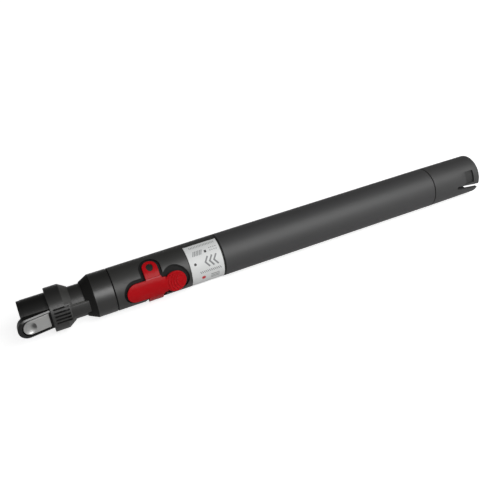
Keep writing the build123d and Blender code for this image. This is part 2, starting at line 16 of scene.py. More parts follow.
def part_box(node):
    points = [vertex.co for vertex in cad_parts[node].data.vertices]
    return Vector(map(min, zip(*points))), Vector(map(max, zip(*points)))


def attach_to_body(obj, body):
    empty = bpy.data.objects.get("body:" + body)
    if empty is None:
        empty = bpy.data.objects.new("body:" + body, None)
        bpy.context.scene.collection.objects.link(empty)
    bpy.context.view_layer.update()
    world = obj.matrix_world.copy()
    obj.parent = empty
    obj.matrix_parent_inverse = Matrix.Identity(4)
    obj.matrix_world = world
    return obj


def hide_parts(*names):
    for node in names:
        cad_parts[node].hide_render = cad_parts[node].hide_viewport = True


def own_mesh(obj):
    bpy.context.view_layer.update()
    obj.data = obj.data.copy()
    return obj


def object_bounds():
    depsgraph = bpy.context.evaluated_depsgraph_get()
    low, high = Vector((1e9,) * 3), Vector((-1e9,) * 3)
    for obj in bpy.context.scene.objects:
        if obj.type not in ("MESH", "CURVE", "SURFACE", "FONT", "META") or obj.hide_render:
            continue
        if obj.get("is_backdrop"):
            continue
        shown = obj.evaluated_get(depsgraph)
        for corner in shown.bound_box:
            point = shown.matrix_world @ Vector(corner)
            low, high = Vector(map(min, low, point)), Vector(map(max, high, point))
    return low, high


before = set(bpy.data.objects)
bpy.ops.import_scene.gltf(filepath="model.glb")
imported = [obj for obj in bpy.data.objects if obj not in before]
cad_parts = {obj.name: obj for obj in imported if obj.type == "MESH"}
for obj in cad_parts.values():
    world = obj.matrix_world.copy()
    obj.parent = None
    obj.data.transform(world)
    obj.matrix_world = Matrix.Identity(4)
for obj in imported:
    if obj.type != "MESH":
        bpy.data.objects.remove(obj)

log = logging.getLogger("wand")

MM = 0.001
ALONG_WAND = (1.0, 0.0, 0.0)
ACROSS_WAND = (0.0, 1.0, 1.0)

Colour = tuple[float, float, float]
Triple = tuple[float, float, float]
Pair = tuple[float, float]


class Lay(Enum):
    """Direction of the fine lines that making a surface leaves on it."""

    EVEN = "even"
    ALONG = "along the wand"
    ROUND = "round the wand"


class Way(Enum):
    """What a zone of a surface is measured along."""

    STATION = "along the wand"
    RADIUS = "out from the wand's axis"
    SPOT = "out from a point"


class Ink(Enum):
    """Inks of the print on the label."""

    GREY = "print_grey"
    BLACK = "print_black"
    RED = "print_red"


class Shape(Enum):
    """Outlines of the marks on the label."""

    STROKE = "a straight stroke"
    CHEVRON = "two strokes that meet"
    DISC = "a round dot"


class Graph:
    """Adds nodes to a tree, sets their values and links their sockets."""

    def __init__(self, tree: bpy.types.NodeTree) -> None:
        """Takes the shader or geometry node tree to add to."""
        self.tree = tree

    def add(self, kind: str, **settings: Any) -> bpy.types.Node:
        """Adds one node.

        Args:
            kind: The node's type name.
            **settings: Properties of the node, by name.

        Returns:
            The new node.
        """
        node = self.tree.nodes.new(kind)
        for name, value in settings.items():
            setattr(node, name, value)
        return node

    def feed(self, node: bpy.types.Node, **values: Any) -> bpy.types.Node:
        """Sets or links the inputs of a node.

        Args:
            node: The node whose inputs are fed.
            **values: A value or an output socket for each input, by the input's identifier or name with
                underscores for its spaces.

        Returns:
            The same node.
        """
        for name, value in values.items():
            plain = name.replace("_", " ")
            inputs = [s for s in node.inputs if s.enabled]
            socket = next(s for s in inputs if plain in (s.name, s.identifier.replace("_", " ")))
            self._put(socket, value)
        return node

    def math(self, operation: str, *terms: Any) -> bpy.types.NodeSocket:
        """Adds a Math node with a number or a socket for each input in turn, and returns its output."""
        return self._operate("ShaderNodeMath", operation, terms).outputs[0]

    def vector(self, operation: str, *terms: Any) -> bpy.types.NodeSocket:
        """Adds a Vector Math node with a term for each enabled input, and returns its vector."""
        return self._operate("ShaderNodeVectorMath", operation, terms).outputs["Vector"]

    def measure(self, operation: str, *terms: Any) -> bpy.types.NodeSocket:
        """Adds a Vector Math node with a term for each enabled input, and returns its number."""
        return self._operate("ShaderNodeVectorMath", operation, terms).outputs["Value"]

    def ramp(self, value: bpy.types.NodeSocket, span: Pair, low: Any, high: Any) -> bpy.types.NodeSocket:
        """Adds a soft step between two levels.

        Args:
            value: What the step is read from.
            span: Where the step starts and ends.
            low: The level up to the start.
            high: The level from the end on.

        Returns:
            The level.
        """
        step = self.add("ShaderNodeMapRange", interpolation_type="SMOOTHSTEP")
        self.feed(step, Value=value, From_Min=span[0], From_Max=span[1], To_Min=low, To_Max=high)
        return step.outputs[0]

    def blend(self, kind: str, share: bpy.types.NodeSocket, low: Any, high: Any) -> bpy.types.NodeSocket:
        """Mixes two colours or two numbers.

        Args:
            kind: RGBA for colours or FLOAT for numbers.
            share: The share of the second.
            low: The first colour or number.
            high: The second colour or number.

        Returns:
            The mixture.
        """
        mix = self.add("ShaderNodeMix", data_type=kind)
        ending = {"RGBA": "Color", "FLOAT": "Float"}[kind]
        self.feed(mix, **{"Factor_Float": share, f"A_{ending}": low, f"B_{ending}": high})
        return next(s for s in mix.outputs if s.enabled)

    def _operate(self, kind: str, operation: str, terms: tuple[Any, ...]) -> bpy.types.Node:
        """Adds a node with an operation and feeds its enabled inputs in turn.

        Args:
            kind: The node's type name.
            operation: The node's operation.
            terms: What each enabled input gets.

        Returns:
            The new node.
        """
        node = self.add(kind, operation=operation)
        for socket, term in zip([s for s in node.inputs if s.enabled], terms):
            self._put(socket, term)
        return node

    def _put(self, socket: bpy.types.NodeSocket, value: Any) -> None:
        """Links an input to an output, or sets it.

        Args:
            socket: The input.
            value: An output socket or a plain value.
        """
        if isinstance(value, bpy.types.NodeSocket):
            self.tree.links.new(value, socket)
        else:
            socket.default_value = value


def blank_material(name: str) -> bpy.types.Material:
    """Makes a material with an empty node tree.

    Args:
        name: The material's name.

    Returns:
        The new material.
    """
    material = bpy.data.materials.new(name)
    material.use_nodes = True
    material.node_tree.nodes.clear()
    return material


def geometry_tree(name: str, takes: dict[str, str]) -> bpy.types.NodeTree:
    """Starts a geometry node tree.

    Args:
        name: The tree's name.
        takes: The kind of each named input, such as Float or Vector.

    Returns:
        The tree, with its inputs and a geometry output.
    """
    tree = bpy.data.node_groups.new(name, "GeometryNodeTree")
    for label, kind in takes.items():
        tree.interface.new_socket(label, in_out="INPUT", socket_type=f"NodeSocket{kind}")
    tree.interface.new_socket("Geometry", in_out="OUTPUT", socket_type="NodeSocketGeometry")
    return tree


def attach(piece: bpy.types.Object, tree: bpy.types.NodeTree, values: dict[str, Any]) -> None:
    """Puts a geometry node tree on a piece.

    Args:
        piece: The piece to change.
        tree: The tree.
        values: The value of each named input.
    """
    modifier = piece.modifiers.new(tree.name, "NODES")
    modifier.node_group = tree
    for item in tree.interface.items_tree:
        if item.item_type == "SOCKET" and item.in_out == "INPUT" and item.name in values:
            modifier[item.identifier] = values[item.name]


def settle(piece: bpy.types.Object) -> None:
    """Gives a piece the plain mesh that its modifiers make, and takes them off.

    Args:
        piece: The piece, with its modifiers live.
    """
    graph = bpy.context.evaluated_depsgraph_get()
    plain = bpy.data.meshes.new_from_object(piece.evaluated_get(graph), depsgraph=graph)
    rough = piece.data
    piece.modifiers.clear()
    piece.data = plain
    bpy.data.meshes.remove(rough)
    plain.name = piece.name


@dataclass(frozen=True)
class Zone:
    """A stretch of a surface with soft edges, which may be kept within another."""

    way: Way
    start_mm: float
    end_mm: float
    blend_mm: float = 0.1
    centre_mm: Triple = (0.0, 0.0, 0.0)
    within: "Zone | None" = None

    def mask(self, graph: Graph, place: bpy.types.NodeSocket) -> bpy.types.NodeSocket:
        """Finds the zone on the surface.

        Args:
            graph: The material's graph.
            place: The coordinates to read.

        Returns:
            1 in the zone and 0 outside it.
        """
        if self.way is Way.STATION:
            reading = graph.feed(graph.add("ShaderNodeSeparateXYZ"), Vector=place).outputs["X"]
        elif self.way is Way.RADIUS:
            reading = graph.measure("LENGTH", graph.vector("MULTIPLY", place, ACROSS_WAND))
        else:
            reading = graph.measure("DISTANCE", place, tuple(part * MM for part in self.centre_mm))
        start = ((self.start_mm - self.blend_mm) * MM, (self.start_mm + self.blend_mm) * MM)
        end = ((self.end_mm - self.blend_mm) * MM, (self.end_mm + self.blend_mm) * MM)
        mask = graph.math("MINIMUM", graph.ramp(reading, start, 0.0, 1.0), graph.ramp(reading, end, 1.0, 0.0))
        return mask if self.within is None else graph.math("MINIMUM", mask, self.within.mask(graph, place))


@dataclass(frozen=True)
class ShadeBand:
    """A zone of painted shade: its colour is darkened and its surface dulled where shade falls, such as on
    the floor of a recess.
    """

    zone: Zone
    # The share of the colour that is kept in the painted shade.
    tone: float
    roughness: float = 0.9


@dataclass(frozen=True)
class Finish:
    """A surface finish, made into a material from the piece's own coordinates.

    The colour, gloss and metal are those of the plain surface. The grain is the fine texture of the mould or
    of the blasting, the lay is the direction of drawn or turned lines, and the mottle is the slow drift of
    tone and gloss over the surface. The shade bands are painted shade, darkening the colour in bores,
    recesses, grooves and hollows.
    """

    name: str
    colour: Colour
    roughness: float
    metallic: float = 0.0
    specular: float = 0.5
    grain_mm: float = 0.35
    grain_depth_mm: float = 0.006
    lay: Lay = Lay.EVEN
    lay_pitch_mm: float = 0.6
    lay_depth_mm: float = 0.004
    mottle_mm: float = 30.0
    tone_drift: float = 0.08
    gloss_drift: float = 0.05
    sheen: float = 0.0
    shade_bands: tuple[ShadeBand, ...] = ()
    made: ClassVar[dict[str, bpy.types.Material]] = {}
    mottle_layers: ClassVar[float] = 3.0
    grain_layers: ClassVar[float] = 2.0
    lay_layers: ClassVar[float] = 1.0
    lay_stretch: ClassVar[dict[Lay, Triple]] = {Lay.ALONG: (0.01, 1.0, 1.0), Lay.ROUND: (1.0, 0.02, 0.02)}

    def material(self) -> bpy.types.Material:
        """Makes the material, once for each finish.

        Returns:
            The material with this finish's name.
        """
        if self.name not in self.made:
            self.made[self.name] = self._make()
        return self.made[self.name]

    def _make(self) -> bpy.types.Material:
        """Builds the node tree of the material.

        Returns:
            The new material.
        """
        material = blank_material(self.name)
        graph = Graph(material.node_tree)
        place = graph.add("ShaderNodeTexCoord").outputs["Object"]
        drift = self._noise(graph, place, self.mottle_mm, self.mottle_layers)
        shade_masks = [shade_band.zone.mask(graph, place) for shade_band in self.shade_bands]
        shader = graph.add("ShaderNodeBsdfPrincipled")
        graph.feed(
            shader,
            Base_Color=self._tone(graph, drift, shade_masks),
            Roughness=self._dullness(graph, drift, shade_masks),
            Metallic=self.metallic,
            Specular_IOR_Level=self.specular,
            Sheen_Weight=self.sheen,
            Normal=self._relief(graph, place),
        )
        graph.feed(graph.add("ShaderNodeOutputMaterial"), Surface=shader.outputs[0])
        material.diffuse_color = (*self.colour, 1.0)
        return material

    @staticmethod
    def _noise(
        graph: Graph, place: bpy.types.NodeSocket, size_mm: float, layers: float
    ) -> bpy.types.NodeSocket:
        """Adds a noise whose patches have a size.

        Args:
            graph: The material's graph.
            place: The coordinates to read.
            size_mm: The size of one patch.
            layers: How many finer layers are added.

        Returns:
            The noise, from 0 to 1.
        """
        noise = graph.add("ShaderNodeTexNoise")
        graph.feed(noise, Vector=place, Scale=1.0 / (size_mm * MM), Detail=layers)
        return noise.outputs[0]

    def _tone(
        self, graph: Graph, drift: bpy.types.NodeSocket, shade_masks: list[bpy.types.NodeSocket]
    ) -> bpy.types.NodeSocket:
        """Drifts the colour between a darker and a lighter tone, and paints shade into its shade bands.

        Args:
            graph: The material's graph.
            drift: The slow noise, from 0 to 1.
            shade_masks: Where each band of painted shade lies.

        Returns:
            The colour.
        """
        dark = tuple(part * (1.0 - self.tone_drift) for part in self.colour)
        light = tuple(part * (1.0 + self.tone_drift) for part in self.colour)
        colour = graph.blend("RGBA", drift, (*dark, 1.0), (*light, 1.0))
        for shade_band, mask in zip(self.shade_bands, shade_masks):
            shaded = graph.vector("SCALE", colour, shade_band.tone)
            colour = graph.blend("RGBA", mask, colour, shaded)
        return colour

    def _dullness(
        self, graph: Graph, drift: bpy.types.NodeSocket, shade_masks: list[bpy.types.NodeSocket]
    ) -> bpy.types.NodeSocket:
        """Drifts the roughness about its middle, and dulls the bands of painted shade.

        Args:
            graph: The material's graph.
            drift: The slow noise, from 0 to 1.
            shade_masks: Where each band of painted shade lies.

        Returns:
            The roughness.
        """
        span = graph.add("ShaderNodeMapRange")
        low, high = self.roughness - self.gloss_drift, self.roughness + self.gloss_drift
        dullness = graph.feed(span, Value=drift, To_Min=low, To_Max=high).outputs[0]
        for shade_band, mask in zip(self.shade_bands, shade_masks):
            dullness = graph.blend("FLOAT", mask, dullness, shade_band.roughness)
        return dullness

    def _relief(self, graph: Graph, place: bpy.types.NodeSocket) -> bpy.types.NodeSocket:
        """Raises the grain and, where the finish has a lay, its lines.

        Args:
            graph: The material's graph.
            place: The coordinates to read.

        Returns:
            The bent normal.
        """
        grain = graph.add("ShaderNodeBump")
        height = self._noise(graph, place, self.grain_mm, self.grain_layers)
        graph.feed(grain, Height=height, Distance=self.grain_depth_mm * MM, Strength=1.0)
        if self.lay is Lay.EVEN:
            return grain.outputs[0]
        mapping = graph.add("ShaderNodeMapping")
        graph.feed(mapping, Vector=place, Scale=self.lay_stretch[self.lay])
        lines = graph.add("ShaderNodeBump")
        height = self._noise(graph, mapping.outputs[0], self.lay_pitch_mm, self.lay_layers)
        depth = self.lay_depth_mm * MM
        graph.feed(lines, Height=height, Distance=depth, Strength=1.0, Normal=grain.outputs[0])
        return lines.outputs[0]


# Zones of painted shade on the finishes: inside the socket wall, on the floor of the ramp, on the lip of the
# mouth, in the cuts of the housing, in the grip grooves and on the upper side of the button's dimple. They
# are measured from the socket mouth, from the wand's axis or from a point. A zone round a point has no inner
# edge, so it starts well before the point.
BEFORE_POINT_MM = -9.0
DIMPLE_MIDDLE_MM = (514.0, 19.9, 0.0)
SHADE_MIDDLE_MM = (509.8, 19.8, 0.5)
SOCKET_WALL = Zone(Way.RADIUS, 0.0, 19.5)
RAMP_STRETCH = Zone(Way.STATION, 7.9, 26.0)
RAMP_FLOOR = Zone(Way.RADIUS, 19.5, 21.15, blend_mm=0.25, within=RAMP_STRETCH)
MOUTH_LIP = Zone(Way.STATION, -1.0, 0.8, blend_mm=0.4)
HOUSING_CUTS = Zone(Way.RADIUS, 0.0, 21.48)
GRIP_STRETCH = Zone(Way.STATION, 480.6, 500.0)
GRIP_GROOVES = Zone(Way.RADIUS, 0.0, 21.2, within=GRIP_STRETCH)
BUTTON_DIMPLE = Zone(Way.SPOT, BEFORE_POINT_MM, 5.5, blend_mm=0.4, centre_mm=DIMPLE_MIDDLE_MM)
DIMPLE_SHADE = Zone(
    Way.SPOT, BEFORE_POINT_MM, 3.2, blend_mm=2.0, centre_mm=SHADE_MIDDLE_MM, within=BUTTON_DIMPLE
)

TUBE_GREY = Finish("tube_grey", (0.046, 0.046, 0.0465), 0.50, lay=Lay.ALONG)
COLLAR_GREY = Finish(
    "collar_grey",
    (0.045, 0.045, 0.045),
    0.50,
    # The bands are painted shade: darker inside the socket wall, on the floor of the ramp and on the lip of
    # the mouth.
    shade_bands=(ShadeBand(SOCKET_WALL, 0.25), ShadeBand(RAMP_FLOOR, 0.6, 0.7), ShadeBand(MOUTH_LIP, 0.55, 0.7)),
)
# The band is painted shade, darker in the cuts of the housing below its outer skin.
HOUSING_GREY = Finish(
    "housing_grey", (0.028, 0.028, 0.0266), 0.44, specular=0.6, shade_bands=(ShadeBand(HOUSING_CUTS, 0.2),)
)
NOSE_BLACK = Finish("nose_black", (0.011, 0.011, 0.0101), 0.32, specular=0.9, lay=Lay.ROUND)
# Painted shade: a darker, duller copy of the nose's black for the cone of the nose.
PAINTED_CONE_SHADE = Finish("cone_black", (0.0065, 0.0065, 0.006), 0.6, specular=0.2, lay=Lay.ROUND)
# The band is painted shade, darker in the grip grooves.
CUFF_BLACK = Finish(
    "cuff_black", (0.011, 0.011, 0.0101), 0.36, specular=0.8, shade_bands=(ShadeBand(GRIP_GROOVES, 0.2),)
)
# Painted light: a lighter copy of the cuff's black for the back slope of the cuff.
PAINTED_CUFF_LIGHT = Finish("painted_cuff_light", (0.026, 0.026, 0.024), 0.5, specular=0.9, lay=Lay.ROUND)
INNER_TUBE_BLACK = Finish("inner_tube_black", (0.015, 0.015, 0.0138), 0.38, specular=0.7, lay=Lay.ROUND)
RAIL_BLACK = Finish("rail_black", (0.015, 0.015, 0.0138), 0.40, specular=0.7)
# Painted light: a light grey on the upper side of the rail, in place of its shade.
PAINTED_RAIL_LIGHT = Finish("painted_rail_light", (0.085, 0.085, 0.081), 0.6, specular=0.6)
NOZZLE_BLACK = Finish("nozzle_black", (0.006, 0.006, 0.0056), 0.34, specular=0.45)
# Painted highlight: a lighter black, with more gloss, on the upper bevel of the cradle.
PAINTED_CRADLE_HIGHLIGHT = Finish("painted_cradle_highlight", (0.03, 0.03, 0.029), 0.24, specular=1.0, grain_depth_mm=0.002)
LEVER_RED = Finish(
    "lever_red", (0.42, 0.0035, 0.0070), 0.26, specular=0.14, grain_mm=0.5, grain_depth_mm=0.004
)
# Painted highlight: a lighter red along the crease at the root of the lever's upper tab.
PAINTED_CREASE_HIGHLIGHT = Finish("painted_crease_highlight", (0.46, 0.026, 0.036), 0.24, specular=0.4, grain_depth_mm=0.002)
BUTTON_SILVER = Finish(
    "button_silver",
    (0.55, 0.55, 0.54),
    0.35,
    metallic=0.9,
    grain_mm=0.2,
    grain_depth_mm=0.004,
    shade_bands=(ShadeBand(DIMPLE_SHADE, 0.25, 0.4),),
)
LABEL_FILM = Finish(
    "label_film", (0.69, 0.70, 0.695), 0.42, specular=0.4, grain_mm=0.8, grain_depth_mm=0.002, tone_drift=0.03
)
PIN_DARK = Finish("pin_dark", (0.022, 0.024, 0.020), 0.34, metallic=0.4)
SPRING_STEEL = Finish("spring_steel", (0.45, 0.45, 0.44), 0.28, metallic=1.0, lay=Lay.ALONG)
BUSH_ACETAL = Finish("bush_acetal", (0.045, 0.045, 0.045), 0.36)
SEAL_RUBBER = Finish("seal_rubber", (0.012, 0.012, 0.012), 0.72)
SEAL_FELT = Finish(
    "seal_felt",
    (0.05, 0.05, 0.05),
    0.95,
    grain_mm=0.25,
    grain_depth_mm=0.05,
    tone_drift=0.35,
    mottle_mm=1.5,
    sheen=0.4,
)
INK_FINISHES = {
    Ink.GREY: Finish(Ink.GREY.value, (0.21, 0.215, 0.22), 0.45, grain_depth_mm=0.001),
    Ink.BLACK: Finish(Ink.BLACK.value, (0.018, 0.018, 0.018), 0.45, grain_depth_mm=0.001),
    Ink.RED: Finish(Ink.RED.value, (0.55, 0.035, 0.045), 0.45, grain_depth_mm=0.001),
}


@dataclass(frozen=True)
class FacetSmoothing:
    """Shades the facets of a CAD piece as the smooth faces that they stand for.

    The loose facets are welded and their edges shaded smooth up to a crease angle. On a piece that was turned
    about the wand's axis, each corner's normal is also cleared of any small lean round the axis.
    """

    crease_deg: float = 30.0
    turned: bool = False
    tree: ClassVar[bpy.types.NodeTree | None] = None
    weld_mm: ClassVar[float] = 0.0005
    lean_limit: ClassVar[float] = 0.2

    def apply(self, piece: bpy.types.Object) -> None:
        """Adds the smoothing to a piece.

        Args:
            piece: The CAD piece, or a copy of one.
        """
        if FacetSmoothing.tree is None:
            FacetSmoothing.tree = self._make()
        values = {
            "Weld distance": self.weld_mm * MM,
            "Crease angle": radians(self.crease_deg),
            "Turned": self.turned,
        }
        attach(piece, FacetSmoothing.tree, values)
        if not self.turned:
            weighted = piece.modifiers.new("face_weights", "WEIGHTED_NORMAL")
            weighted.keep_sharp = True

    def _make(self) -> bpy.types.NodeTree:
        """Builds the tree.

        Returns:
            A geometry node tree with its sizes as named inputs.
        """
        takes = {"Geometry": "Geometry", "Weld distance": "Float", "Crease angle": "Float", "Turned": "Bool"}
        tree = geometry_tree("facet_smoothing", takes)
        graph = Graph(tree)
        given = graph.add("NodeGroupInput").outputs
        weld = graph.add("GeometryNodeMergeByDistance")
        graph.feed(weld, Geometry=given["Geometry"], Distance=given["Weld distance"])
        soft = graph.add("GeometryNodeSetShadeSmooth", domain="FACE")
        graph.feed(soft, Geometry=weld.outputs[0], Shade_Smooth=True)
        smooth_edge = graph.add("FunctionNodeCompare", operation="LESS_THAN")
        angle = graph.add("GeometryNodeInputMeshEdgeAngle").outputs[0]
        graph.feed(smooth_edge, A=angle, B=given["Crease angle"])
        creases = graph.add("GeometryNodeSetShadeSmooth", domain="EDGE")
        graph.feed(creases, Geometry=soft.outputs[0], Shade_Smooth=smooth_edge.outputs[0])
        turned = graph.add("GeometryNodeSetMeshNormal", mode="FREE", domain="CORNER")
        graph.feed(turned, Mesh=creases.outputs[0], Custom_Normal=self._upright_normal(graph))
        choice = graph.add("GeometryNodeSwitch", input_type="GEOMETRY")
        graph.feed(choice, Switch=given["Turned"], **{"False": creases.outputs[0], "True": turned.outputs[0]})
        graph.feed(graph.add("NodeGroupOutput"), Geometry=choice.outputs[0])
        return tree

    def _upright_normal(self, graph: Graph) -> bpy.types.NodeSocket:
        """Clears the normal of a small lean round the wand's axis.

        Args:
            graph: The tree's graph.

        Returns:
            The normal, unchanged where clearing it would move its tip further than the limit.
        """
        normal = graph.add("GeometryNodeInputNormal").outputs["Normal"]
        place = graph.add("GeometryNodeInputPosition").outputs[0]
        spoke = graph.vector("NORMALIZE", graph.vector("MULTIPLY", place, ACROSS_WAND))
        outward = graph.vector("SCALE", spoke, graph.measure("DOT_PRODUCT", normal, spoke))
        axial = graph.vector("MULTIPLY", normal, ALONG_WAND)
        upright = graph.vector("NORMALIZE", graph.vector("ADD", axial, outward))
        small_lean = graph.add("FunctionNodeCompare", operation="LESS_THAN")
        graph.feed(small_lean, A=graph.measure("DISTANCE", normal, upright), B=self.lean_limit)
        pick = graph.add("GeometryNodeSwitch", input_type="VECTOR")
        graph.feed(pick, Switch=small_lean.outputs[0], **{"False": normal, "True": upright})
        return pick.outputs[0]


@dataclass(frozen=True)
class PaintedLightFaces:
    """Painted light or shade: a lighter or darker second material on those faces of a CAD piece that lie in a
    box and face one way.
    """

    finish: Finish
    low_mm: Triple
    high_mm: Triple
    facing: Triple = ALONG_WAND
    spread_deg: float = 180.0
    box_slack: ClassVar[float] = 1e-7
    angle_slack: ClassVar[float] = 1e-4

    def apply(self, piece: bpy.types.Object) -> None:
        """Adds the painted light or shade to a piece.

        Args:
            piece: The CAD piece.
        """
        values = {
            "Low corner": [part * MM for part in self.low_mm],
            "High corner": [part * MM for part in self.high_mm],
            "Facing": list(Vector(self.facing).normalized()),
            "Spread": radians(self.spread_deg),
        }
        attach(piece, self._make(), values)

    def _make(self) -> bpy.types.NodeTree:
        """Builds the tree that picks the faces and gives them the painted light or shade.

        Returns:
            A geometry node tree with the box and the direction as named inputs.
        """
        takes = {"Geometry": "Geometry", "Low corner": "Vector", "High corner": "Vector", "Facing": "Vector"}
        tree = geometry_tree("painted_light_faces", {**takes, "Spread": "Float"})
        graph = Graph(tree)
        given = graph.add("NodeGroupInput").outputs
        place = graph.add("GeometryNodeInputPosition").outputs[0]
        raised = graph.vector("MAXIMUM", place, given["Low corner"])
        nearest = graph.vector("MINIMUM", raised, given["High corner"])
        inside = graph.math("LESS_THAN", graph.measure("DISTANCE", place, nearest), self.box_slack)
        normal = graph.add("GeometryNodeInputNormal").outputs["Normal"]
        cosine = graph.measure("DOT_PRODUCT", normal, given["Facing"])
        turned_away = graph.math("ARCCOSINE", graph.math("MINIMUM", graph.math("MAXIMUM", cosine, -1.0), 1.0))
        faced = graph.math("LESS_THAN", turned_away, graph.math("ADD", given["Spread"], self.angle_slack))
        real = graph.feed(graph.add("GeometryNodeRealizeInstances"), Geometry=given["Geometry"])
        coat = graph.add("GeometryNodeSetMaterial")
        chosen = graph.math("MULTIPLY", inside, faced)
        graph.feed(coat, Geometry=real.outputs[0], Selection=chosen, Material=self.finish.material())
        graph.feed(graph.add("NodeGroupOutput"), Geometry=coat.outputs[0])
        return tree


TURNED = FacetSmoothing(20.0, turned=True)
TURNED_COLLAR = FacetSmoothing(35.0, turned=True)
TURNED_CUFF = FacetSmoothing(25.0, turned=True)
MOULDED = FacetSmoothing()
MOULDED_ROUND = FacetSmoothing(28.0)
MOULDED_NOZZLE = FacetSmoothing(25.0)

# Places of painted light and shade: painted shade on the cone of the nose, painted light on the back slope
# of the cuff and on the upper side of the rail, and painted highlights on the upper bevel of the cradle and
# along the crease at the root of the lever's upper tab.
NOSE_CONE = PaintedLightFaces(PAINTED_CONE_SHADE, (452.8, -30.0, -30.0), (470.0, 30.0, 30.0))
CUFF_SLOPE = PaintedLightFaces(PAINTED_CUFF_LIGHT, (470.0, -30.0, -30.0), (480.4, 30.0, 30.0), (-0.5, 0.87, 0.0), 80.0)
RAIL_SIDE = PaintedLightFaces(PAINTED_RAIL_LIGHT, (100.0, 10.0, 4.0), (490.0, 25.0, 7.5), (0.0, 0.1, 0.99), 24.0)
CRADLE_BEVEL = PaintedLightFaces(PAINTED_CRADLE_HIGHLIGHT, (494.0, 17.0, 6.0), (525.0, 24.0, 11.5), (-0.13, 0.89, 0.45), 14.0)
TAB_CREASE = PaintedLightFaces(PAINTED_CREASE_HIGHLIGHT, (380.0, 19.0, 8.9), (410.0, 25.0, 10.6), (0.0, 0.81, 0.59), 5.0)


@dataclass(frozen=True)
class Dress:
    """How one CAD piece is dressed: its finish, its smooth shading and the faces where light or shade is
    painted.
    """

    finish: Finish
    smoothing: FacetSmoothing = MOULDED
    painted_light: tuple[PaintedLightFaces, ...] = ()


@dataclass
class SubAssembly:
    """The pieces of the wand that move as one body, with the dress of each."""

    body: str
    dresses: dict[str, Dress] = field(default_factory=dict)

    def build(self) -> list[bpy.types.Object]:
        """Returns the pieces that are built on this body beside its CAD pieces, here none."""
        return []

    def dress(self) -> None:
        """Gives each CAD piece of this body its finish, its smooth shading and its painted light and shade.
        """
        for node, dress in self.dresses.items():
            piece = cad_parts[node]
            if not piece.material_slots:
                piece.data.materials.append(dress.finish.material())
            for slot in piece.material_slots:
                slot.material = dress.finish.material()
            dress.smoothing.apply(piece)
            for painted_light_faces in dress.painted_light:
                painted_light_faces.apply(piece)
            log.info("%s: %s on %s", node, dress.finish.name, self.body)


@dataclass(frozen=True)
class Motif:
    """A row of equal marks on the label.

    The width runs along the wand and the height round it. The first mark stands at a share of the label's
    length and at a level round the wand, and each further mark a step and a rise from the last.
    """

    shape: Shape
    ink: Ink
    width_mm: float
    height_mm: float
    share: float
    level_mm: float
    count: int = 1
    step_mm: float = 0.0
    rise_mm: float = 0.0
    turn_deg: float = 0.0


LABEL_MOTIFS = (
    Motif(Shape.STROKE, Ink.GREY, 0.55, 2.4, 0.10, 27.0, count=17, step_mm=1.6),
    Motif(Shape.STROKE, Ink.GREY, 0.8, 5.6, 0.56, 19.5, count=6, step_mm=1.7, turn_deg=24.0),
    Motif(Shape.DISC, Ink.GREY, 1.1, 1.1, 0.10, 21.5, count=4, step_mm=2.2),
    Motif(Shape.DISC, Ink.GREY, 1.1, 1.1, 0.10, 18.6, count=4, step_mm=2.2),
    Motif(Shape.STROKE, Ink.BLACK, 2.2, 2.6, 0.44, 19.0),
    Motif(Shape.DISC, Ink.BLACK, 2.8, 2.8, 0.84, 9.0),
    Motif(Shape.CHEVRON, Ink.GREY, 1.7, 7.0, 0.22, 8.5, count=3, step_mm=4.6),
    Motif(Shape.STROKE, Ink.GREY, 0.7, 3.0, 0.12, -1.0, count=12, step_mm=1.9, turn_deg=-30.0),
    Motif(Shape.STROKE, Ink.GREY, 9.0, 0.9, 0.30, -6.6, count=3, rise_mm=-2.2),
    Motif(Shape.DISC, Ink.RED, 4.2, 4.2, 0.66, -8.0),
)


